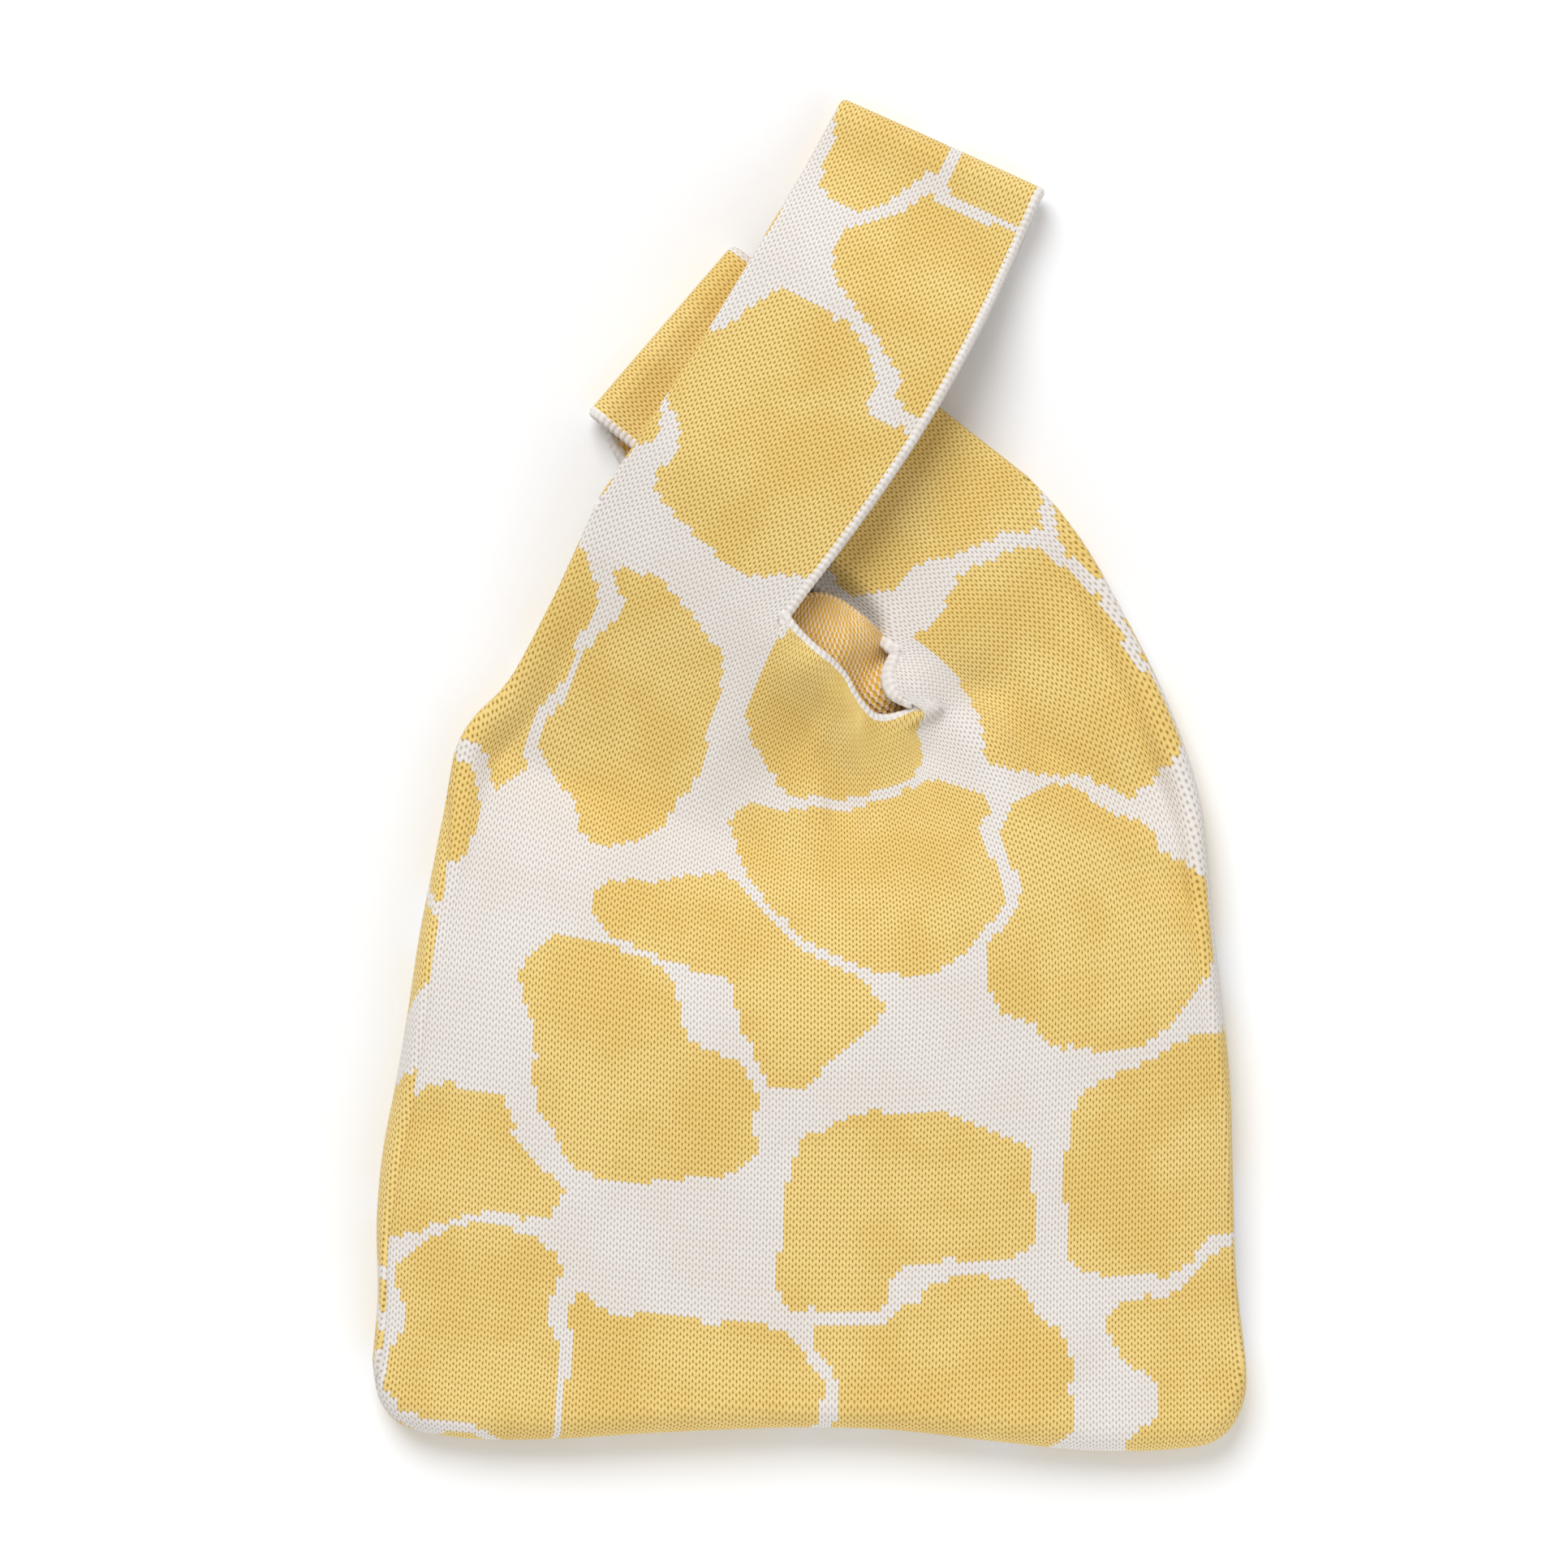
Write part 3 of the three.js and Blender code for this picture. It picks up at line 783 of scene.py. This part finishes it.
def knit_face():
    n = Nodes("knit_face")
    wale, course, tight = n.attribute("stitch")
    wrap = n.attribute("wrap")[0]
    over_seam = n.math("GREATER_THAN", wrap, 0.0)
    wale = n.math("ADD", wale, n.math("MULTIPLY", over_seam, PANEL_SHIFT))
    column, row, leg, rib, height = stitch_cells(n, wale, course)
    across = n.math("MULTIPLY", n.math("ADD", column, 0.5), WALE / MOTIF)
    up = n.math("MULTIPLY", n.math("ADD", row, 0.5), COURSE / MOTIF)
    cell = n.vector(across, up)
    stray = n.put("ShaderNodeVectorMath", operation="MULTIPLY_ADD")
    stray.inputs[1].default_value = (0.5, 0.5, 0.0)
    n.link(n.noise(cell, 1.3, 0.0)["Color"], stray.inputs[0])
    curl = n.put("ShaderNodeVectorMath", operation="MULTIPLY_ADD")
    curl.inputs[1].default_value = (0.2, 0.2, 0.0)
    n.link(n.noise(cell, 3.2, 0.0)["Color"], curl.inputs[0])
    n.link(cell, curl.inputs[2])
    n.link(curl.outputs[0], stray.inputs[2])
    patches = n.put("ShaderNodeTexVoronoi", voronoi_dimensions="2D", feature="DISTANCE_TO_EDGE")
    centres = n.put("ShaderNodeTexVoronoi", voronoi_dimensions="2D", feature="F1")
    for texture in (patches, centres):
        n.link(stray.outputs[0], texture.inputs["Vector"])
        texture.inputs["Scale"].default_value = 1.0
        texture.inputs["Randomness"].default_value = 0.8
    inset = n.math("SUBTRACT", patches.outputs["Distance"], PATCH_GAP)
    disc = n.math("MULTIPLY", n.math("SUBTRACT", PATCH_RADIUS, centres.outputs["Distance"]), 0.9)
    inset = n.math("SMOOTH_MIN", inset, disc, PATCH_ROUNDING)
    ragged = n.math("MULTIPLY_ADD", n.noise(cell, 8.0, 1.0)["Fac"], PATCH_RAGGED, -PATCH_RAGGED / 2)
    yellow = n.math("GREATER_THAN", n.math("ADD", inset, ragged), 0.0)
    blotch = n.ease(n.noise(cell, 2.3, 3.0)["Fac"], 0.35, 0.65)
    stitch = n.vector(n.math("MULTIPLY", column, 0.73), n.math("MULTIPLY", row, 0.37))
    yarn = n.noise(stitch, 1.0, 3.0, 0.7)["Fac"]
    tone = n.math("ADD", n.math("MULTIPLY", blotch, 0.55), n.math("MULTIPLY", yarn, 0.45), clamp=True)
    # Painted shade: the low places of the stitch relief, between the legs and at the holes, take a
    # darker colour, less where the knit is pushed tight.
    gap = n.math("SUBTRACT", 1.0, n.ease(height, 0.35, 1.12))
    gap = n.math("MULTIPLY", gap, n.math("MULTIPLY_ADD", tight, -0.75, 1.0))
    gold = n.mix(gap, n.mix(tone, YELLOW, YELLOW_DEEP), YELLOW_GAP_SHADE)
    pale = n.mix(gap, n.mix(tone, WHITE, WHITE_SOFT), WHITE_GAP_SHADE)
    colour = n.mix(yellow, pale, gold)
    crest = n.math("MULTIPLY", leg, rib)
    relief = n.math("ADD", n.ease(height, -0.35, 1.0), n.math("MULTIPLY", crest, 0.3))
    return n.surface(colour, relief, 0.0006, 0.45, 0.88, 0.12)


def knit_reverse():
    n = Nodes("knit_reverse")
    wale, course, _ = n.attribute("stitch")
    waves = []
    for place, pitch in ((wale, WALE / DOT_PITCH[0]), (course, COURSE / DOT_PITCH[1])):
        waves.append(n.math("COSINE", n.math("MULTIPLY", place, 2 * math.pi * pitch)))
    lattice = n.math("MULTIPLY", waves[0], waves[1])
    dot = n.ease(lattice, -0.25, 0.4)
    loop = n.ease(lattice, 0.8, -0.5)
    tone = n.noise(n.vector(wale, course), 0.21, 3.0)["Fac"]
    ground = n.mix(n.ease(tone, 0.35, 0.65), CREAM, REVERSE_DEEP)
    colour = n.mix(dot, ground, AMBER)
    return n.surface(colour, loop, 0.0009, 0.6, 0.9, 0.12)


def twisted(n, operation, along, around, lean):
    """A wave along a rope that leans as it goes round it."""
    turn = n.math("ADD", along, n.math("MULTIPLY", around, lean))
    return n.math(operation, n.math("MULTIPLY", turn, 2 * math.pi))


def rolled_edge():
    n = Nodes("rolled_edge")
    around, along, _ = n.attribute("stitch")
    twist = twisted(n, "SINE", along, around, 0.1)
    strand = n.math("SINE", n.math("MULTIPLY", around, 2 * math.pi * 0.6))
    height = n.math("ADD", n.math("MULTIPLY", twist, 0.3), n.math("MULTIPLY", strand, 0.2))
    tone = n.ease(n.noise(n.vector(along, around), 0.35, 3.0)["Fac"], 0.3, 0.7)
    # Painted shade in the grooves between the twists of the rolled edge.
    gap = n.math("MULTIPLY", n.math("SUBTRACT", 0.15, height, clamp=True), 0.5)
    colour = n.mix(gap, n.mix(tone, WHITE, WHITE_SOFT), WHITE_GAP_SHADE)
    return n.surface(colour, height, 0.0005, 0.5, 0.9, 0.15)


def looped_edge():
    n = Nodes("looped_edge")
    around, along, _ = n.attribute("stitch")
    beat = twisted(n, "COSINE", along, around, 0.1)
    tone = n.math("SUBTRACT", 1.0, n.ease(beat, -0.1, 0.9))
    colour = n.mix(tone, AMBER, CREAM)
    return n.surface(colour, beat, 0.0006, 0.5, 0.9, 0.12)


def seam_yarn():
    n = Nodes("seam_yarn")
    around, along, _ = n.attribute("stitch")
    twist = twisted(n, "SINE", along, around, 0.2)
    tone = n.ease(n.noise(n.vector(along, around), 0.5, 3.0)["Fac"], 0.3, 0.7)
    # Painted shade in the grooves between the twists of the seam yarn.
    gap = n.math("MULTIPLY", n.math("SUBTRACT", 0.1, twist, clamp=True), 0.45)
    colour = n.mix(gap, n.mix(tone, SEAM_PALE, SEAM_DEEP), SEAM_GAP_SHADE)
    return n.surface(colour, twist, 0.0005, 0.5, 0.9, 0.12)


KNIT = [knit_face(), knit_reverse()]
EDGING = rolled_edge()
LOOPED_EDGE = looped_edge()
SEAM = seam_yarn()


# Pouch
def panel_roundness(round_from):
    """Square where the seams and the handles join, round at the armholes and the neck."""
    value = np.zeros((ROWS + 1, COLUMNS + 1))
    free = smooth(round_from, round_from + 0.05, V)
    value[:, 0] = free
    value[:, -1] = free
    value[-1, :] = 0.0
    value[-1, NECK] = 1.0
    value[-1, [0, -1]] = 1.0
    return value


def level(direction):
    return np.append(direction, 0.0)


PANEL_AIMS = {
    (ROWS, 0): level(LONG.outward),
    (ROWS, ROOT_COLUMNS): level(-LONG.outward),
    (ROWS, COLUMNS - ROOT_COLUMNS): level(-SHORT.outward),
    (ROWS, COLUMNS): level(SHORT.outward),
}

LONG_ROOT_UP = unit(np.append(-LIFT / CLIMB_LENGTH * LONG.along, 1.0))

front = front_grid()
back = back_grid()
front_normals = grid_normals(front)
back_normals = -grid_normals(back)
front_normals[-1, LEFT_ROOT] = LONG_ROOT_UP
front_normals[-1, RIGHT_ROOT] = [0, 0, 1]
back_normals[-1, LEFT_ROOT] = [0, 0, -1]
back_normals[-1, RIGHT_ROOT] = [0, 0, -1]

# Where the pattern starts on each panel, in wales and courses.
FRONT_PATTERN = np.array([27.0, 120.0])
BACK_PATTERN = np.array([211.0, 37.0])
front_stitches = stitch_map(front) + FRONT_PATTERN
back_stitches = stitch_map(back) + BACK_PATTERN

# The back's knit comes round the left side, up to a shallow groove whose inset changes along Y.
GROOVE_DEPTH = 0.75
GROOVE_WIDTH = 1.1
SEAM_PLACES = [-175, -150, -100, -60, -25, 0]
SEAM_INSETS = [5.0, 6.2, 7.8, 6.4, 4.4, -1.0]
front_across = steps_along(front[..., :2], 1)
seam_inset = np.interp(front[:, 0, 1], SEAM_PLACES, SEAM_INSETS)
left_wrap = seam_inset[:, None] - front_across
groove = GROOVE_DEPTH * np.exp(-((left_wrap / GROOVE_WIDTH) ** 2)) * (seam_inset[:, None] > 0)
front = front - front_normals * groove[..., None]

pieces = {}
pieces["front_panel"] = fabric(
    "front_panel_knit", front, front_normals, front_stitches, left_wrap,
    panel_roundness(UNDERARM), PANEL_AIMS, KNIT)
flip = slice(None, None, -1)
pieces["back_panel"] = fabric(
    "back_panel_knit", back[:, flip], back_normals[:, flip], back_stitches[:, flip],
    np.full(back.shape[:2], -1.0), panel_roundness(UNDERARM)[:, flip],
    {(j, COLUMNS - i): aim for (j, i), aim in PANEL_AIMS.items()}, KNIT)


def neck_edging(name, grid, up, radius, material, pitch, wave, offset):
    line = grid[-1, NECK]
    outward = unit(np.cross(up[-1, NECK], unit(np.gradient(line, axis=0))))
    path = line + outward * offset
    return rope(name, path, up[-1, NECK], radius, material, pitch, wave, over=EDGE_OVERLAP)


round_neck = np.linspace(0, 1, 40)
front_roll = EDGE_RADIUS + 0.9 * bump(round_neck, 0.87, 0.1) - 0.2 * bump(round_neck, 0.64, 0.1)
pieces["front_neck_edging"] = neck_edging(
    "front_neck_rolled_edge", front, front_normals, front_roll, EDGING, COURSE, 0.04, 0.5)
pieces["back_neck_edging"] = neck_edging(
    "back_neck_rolled_edge", back, -back_normals, 1.15, LOOPED_EDGE, 1.2, 0.22, 0.2)


# Handles
def handle_grid(handle, first, last):
    travel = np.linspace(first, last, max(12, int((last - first) / 1.1)) + 1)
    w = INNER_EDGE + ROOT_SHARES * (HANDLE_WIDTH - HALF - INNER_EDGE)
    return handle.at(travel[:, None] + 0 * w[None], w[None] + 0 * travel[:, None]), travel, w


def handle_fabric(name, handle, first, last, side, root_up, start, run):
    """One strand of a handle: its stitches start at the root's, and run says how far on they are."""
    grid, travel, w = handle_grid(handle, first, last)
    normals = grid_normals(grid) * side
    if first == 0:
        normals[0] = root_up
    if last >= handle.length - 1e-6:
        normals[-1] = [0, 0, -1]
    rows = len(travel)
    column = np.interp(w, [w[0], w[-1]], [0, w[-1] - w[0]]) / WALE
    wale = start[0] + side * column
    course = start[1] + run(travel) / COURSE
    stitches = np.stack(np.broadcast_arrays(wale[None], course[:, None]), -1)
    roundness = np.ones((rows, len(w)))
    roundness[0, 1:-1] = 0.0
    roundness[-1, 1:-1] = 0.0
    inner, outer = (0, len(w) - 1) if side > 0 else (len(w) - 1, 0)
    aims = {}
    for row in (0, rows - 1):
        aims[row, inner] = level(-handle.outward)
        aims[row, outer] = level(handle.outward)
    if side < 0:
        grid, normals, stitches = grid[:, flip], normals[:, flip], stitches[:, flip]
        roundness = roundness[:, flip]
    return fabric(name, grid, normals, stitches, np.full((rows, len(w)), -1.0), roundness, aims, KNIT)


def linked_seam(name, line, radius):
    return rope(name, line, np.tile(UPRIGHT, (len(line), 1)), radius, SEAM, wave=SEAM_WAVE)


def build_handle(name, handle, side, root_up, front_root, back_root, root_roll):
    split = handle.split
    parts = {
        f"{name}_front": handle_fabric(
            f"{name}_front_knit", handle, 0.0, split, side, root_up, front_root, lambda travel: travel),
        f"{name}_back": handle_fabric(
            f"{name}_back_knit", handle, split, handle.length, side, root_up, back_root,
            lambda travel: handle.length - travel),
    }
    travel = np.linspace(0, handle.length, 420)
    w = np.full_like(travel, INNER_EDGE)
    path = handle.at(travel, w)
    nearby = handle.at(travel, w + 3.0)
    inward = unit(path - nearby)
    ahead = unit(np.gradient(path, axis=0))
    up = unit(np.cross(ahead, inward)) * side
    radius = EDGE_RADIUS + root_roll * np.exp(-travel / 5.0)
    shift = 0.1 + 0.4 * np.exp(-travel / 8.0)
    parts[f"{name}_edging"] = rope(
        f"{name}_rolled_edge", path + inward * shift[:, None], up, radius, EDGING,
        over=EDGE_OVERLAP, flat=EDGE_WIDTH)
    w = np.linspace(INNER_EDGE + 2, HANDLE_WIDTH - HALF - 1, 60)
    ridge = handle.at(np.full_like(w, split), w)
    ridge[:, 2] += HALF + 0.5
    parts[f"{name}_seam"] = linked_seam(f"{name}_linked_seam", ridge, LOOP_SEAM_RADIUS)
    for piece in parts.values():
        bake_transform(piece)
    pieces.update(parts)


def root_stitch(stitches, columns, mouth_first):
    """Stitch numbers at the mouth end of a root line."""
    at = stitches[-1, columns]
    return at[0] if mouth_first else at[-1]


build_handle(
    "long_handle", LONG, -1, LONG_ROOT_UP, root_stitch(front_stitches, LEFT_ROOT, False),
    root_stitch(back_stitches, LEFT_ROOT, False), root_roll=0.0)
build_handle(
    "short_handle", SHORT, 1, UPRIGHT, root_stitch(front_stitches, RIGHT_ROOT, True),
    root_stitch(back_stitches, RIGHT_ROOT, True), root_roll=0.35)


# Linked seams inside the pouch
middle = (front + back) / 2
seam_rows = np.flatnonzero(V < UNDERARM)[2:]
for node, line, inset in (
        ("left_side_seam", middle[seam_rows, 0], [SEAM_INSET, 0.0, 0.0]),
        ("right_side_seam", middle[seam_rows, -1], [-SEAM_INSET, 0.0, 0.0]),
        ("base_seam", middle[0, 6:-6], [0.0, SEAM_INSET, 0.0])):
    pieces[node] = linked_seam(f"{node}_linked", line + np.array(inset), SEAM_RADIUS)

for node, piece in pieces.items():
    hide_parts(node)
    if "handle" not in node:
        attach(piece, "pouch")

# Floor, light and camera
PHOTO_PIXEL = 0.2096
FRAME_WIDTH = 1932 * PHOTO_PIXEL * MM
CAMERA_HEIGHT = 1.5
CAMERA_PLACE = (-0.0066, -0.0018)
OBJECT_PLANE = 0.018
SENSOR = 36.0
FLOOR_HALF = 6.0
FLOOR_LEVEL = -0.0004
WORLD_LEVEL = 0.46
WORLD_TINT = (1.0, 0.97, 0.93, 1.0)


def floor():
    mesh = bpy.data.meshes.new("floor")
    corners = ((-1, -1), (1, -1), (1, 1), (-1, 1))
    points = [(x * FLOOR_HALF, y * FLOOR_HALF, FLOOR_LEVEL) for x, y in corners]
    mesh.from_pydata(points, [], [(0, 1, 2, 3)])
    n = Nodes("floor_white")
    n.shader.inputs["Base Color"].default_value = linear((250, 252, 255))
    n.shader.inputs["Roughness"].default_value = 0.9
    n.shader.inputs["Specular IOR Level"].default_value = 0.0
    mesh.materials.append(n.material)
    plane = bpy.data.objects.new("floor", mesh)
    bpy.context.collection.objects.link(plane)


def lamp(name, place, target, size, power):
    data = bpy.data.lights.new(name, "AREA")
    data.shape = "DISK"
    data.size = size
    data.energy = power
    light = bpy.data.objects.new(name, data)
    light.location = place
    direction = np.array(target) - np.array(place)
    light.rotation_euler = Vector(direction).to_track_quat("-Z", "Y").to_euler()
    light.visible_camera = False
    bpy.context.collection.objects.link(light)


def world_light():
    """Soft light all round; what the camera, gloss and glass see of it is plain white."""
    world = bpy.data.worlds.new("studio")
    bpy.context.scene.world = world
    world.use_nodes = True
    tree = world.node_tree
    background = tree.nodes["Background"]
    rays = tree.nodes.new("ShaderNodeLightPath")
    mirrored = tree.nodes.new("ShaderNodeMath")
    mirrored.operation = "MAXIMUM"
    tree.links.new(rays.outputs["Is Glossy Ray"], mirrored.inputs[0])
    tree.links.new(rays.outputs["Is Transmission Ray"], mirrored.inputs[1])
    seen = tree.nodes.new("ShaderNodeMath")
    seen.operation = "MAXIMUM"
    tree.links.new(rays.outputs["Is Camera Ray"], seen.inputs[0])
    tree.links.new(mirrored.outputs[0], seen.inputs[1])
    strength = tree.nodes.new("ShaderNodeMapRange")
    tree.links.new(seen.outputs[0], strength.inputs[0])
    strength.inputs[3].default_value = WORLD_LEVEL
    strength.inputs[4].default_value = 1.0
    tree.links.new(strength.outputs[0], background.inputs["Strength"])
    tint = tree.nodes.new("ShaderNodeMix")
    tint.data_type = "RGBA"
    tree.links.new(seen.outputs[0], tint.inputs[0])
    tint.inputs[6].default_value = WORLD_TINT
    tint.inputs[7].default_value = (1.0, 1.0, 1.0, 1.0)
    tree.links.new(tint.outputs[2], background.inputs["Color"])


floor()
world_light()
lamp("key", (-0.7, 2.0, 2.6), (0.0, 0.0, 0.0), 2.2, 80.0)
lamp("fill", (1.2, -0.8, 1.6), (0.0, 0.0, 0.0), 1.6, 6.0)
lamp("low", (0.06, -0.6, 0.17), (0.0, -0.16, 0.01), 0.28, 0.6)

camera_data = bpy.data.cameras.new("camera")
camera_data.sensor_width = SENSOR
camera_data.lens = SENSOR * (CAMERA_HEIGHT - OBJECT_PLANE) / FRAME_WIDTH
camera = bpy.data.objects.new("camera", camera_data)
camera.location = (*CAMERA_PLACE, CAMERA_HEIGHT)
bpy.context.collection.objects.link(camera)
bpy.context.scene.camera = camera
bpy.context.scene.view_settings.view_transform = "Standard"

bpy.context.view_layer.update()
